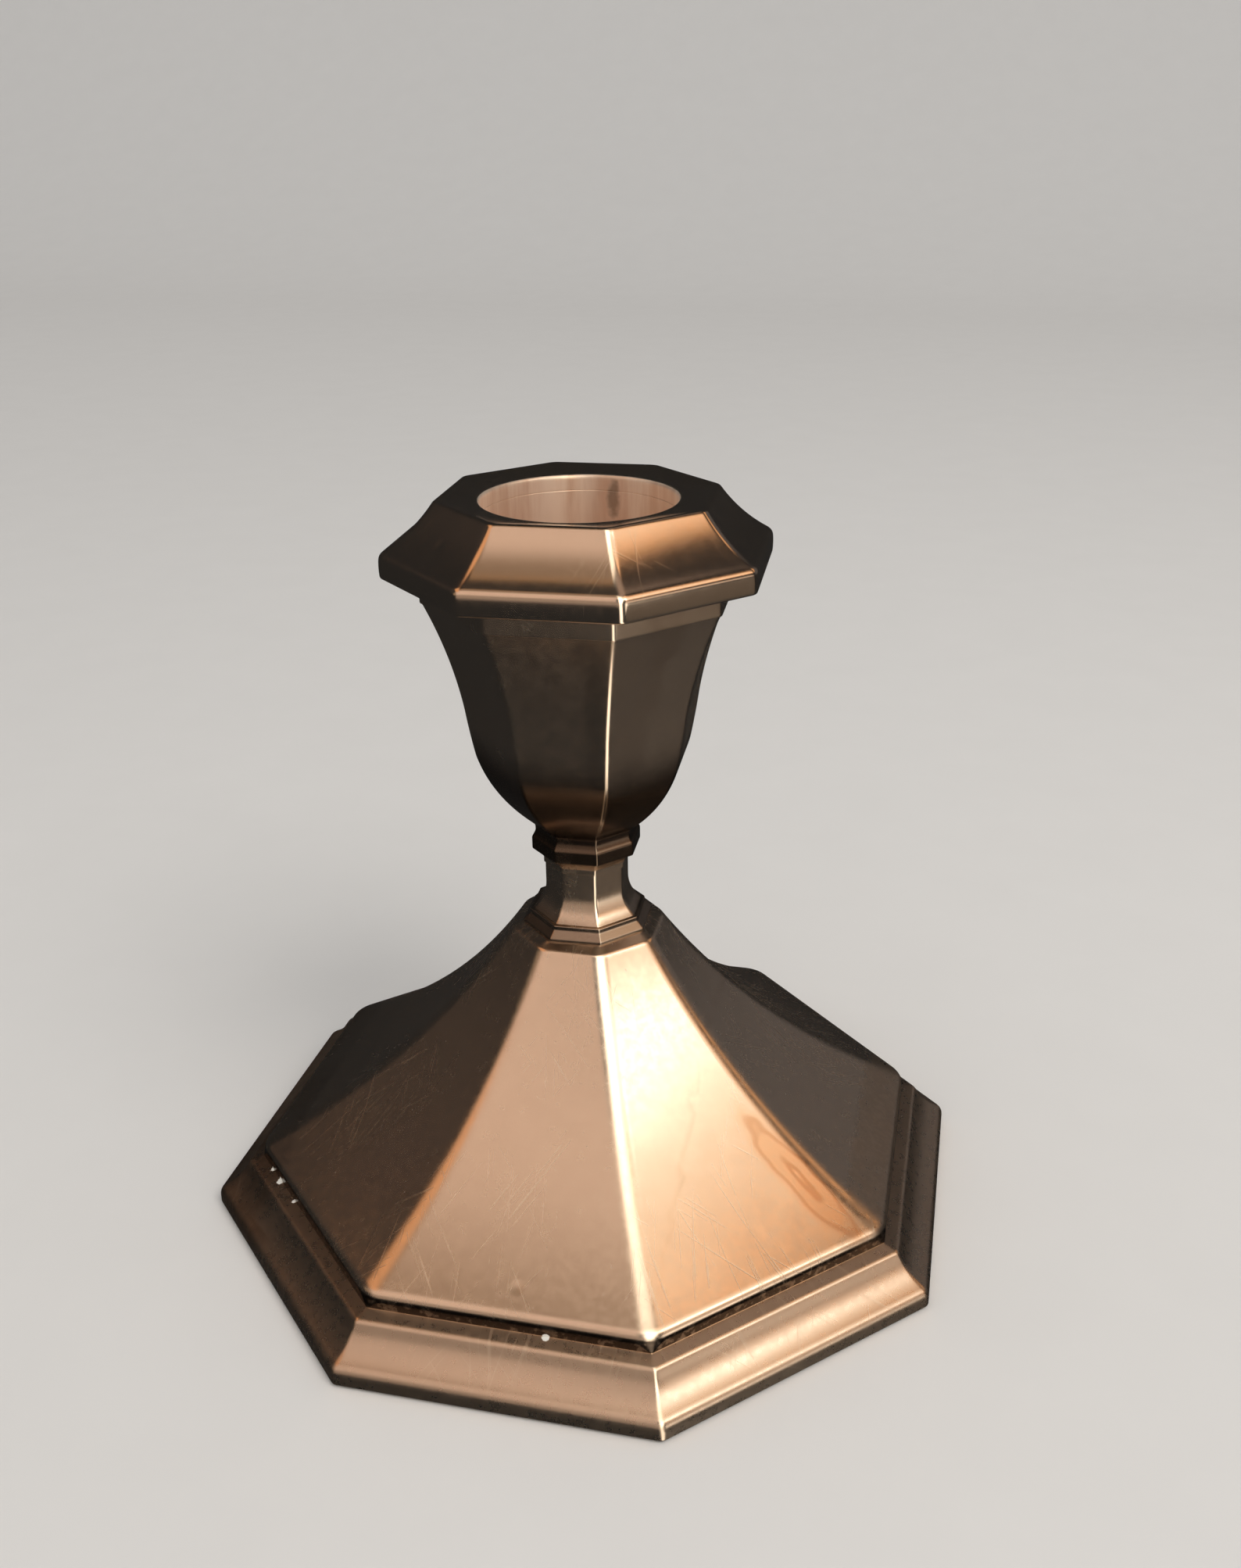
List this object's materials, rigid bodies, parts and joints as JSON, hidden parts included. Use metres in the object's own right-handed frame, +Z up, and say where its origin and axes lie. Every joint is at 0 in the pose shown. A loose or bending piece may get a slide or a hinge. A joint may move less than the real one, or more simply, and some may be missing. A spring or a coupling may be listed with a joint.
{
  "type": "candlestick",
  "caption": "Low octagonal candlestick: stepped loaded foot with hollow-sided slopes, slender neck, flared cup and a lift-out nozzle that holds one dinner candle.",
  "frame": {"origin": "middle of the felt's underside, on the surface that the candlestick stands on", "axes": "+Z up along the candle; the foot's flats face +X, -X, +Y, -Y and the diagonals between them"},
  "size_m": [0.0924, 0.0924, 0.0929],
  "materials": {
    "warm_metal": "polished",
    "tube_metal": "satin",
    "steel": "satin",
    "filling": "matte",
    "felt": "matte"
  },
  "bodies": {
    "candlestick": {"felt_pad": "felt", "base_plate": "steel", "foot_border": "warm_metal", "foot_shell": "warm_metal", "collar_ring": "warm_metal", "neck": "warm_metal", "cup_foot": "warm_metal", "cup_shell": "warm_metal", "cup_lip": "warm_metal", "socket_liner": "tube_metal", "plaster_filling": "filling", "core_rod": "steel"},
    "nozzle": {"nozzle_pan": "warm_metal", "nozzle_plate": "tube_metal", "nozzle_tube": "tube_metal", "nozzle_floor": "tube_metal"}
  },
  "joints": [
    {"name": "nozzle_lift", "type": "slide", "parent": "candlestick", "child": "nozzle", "axis": [0, 0, 1], "range_m": [0, 0.03]}
  ]
}
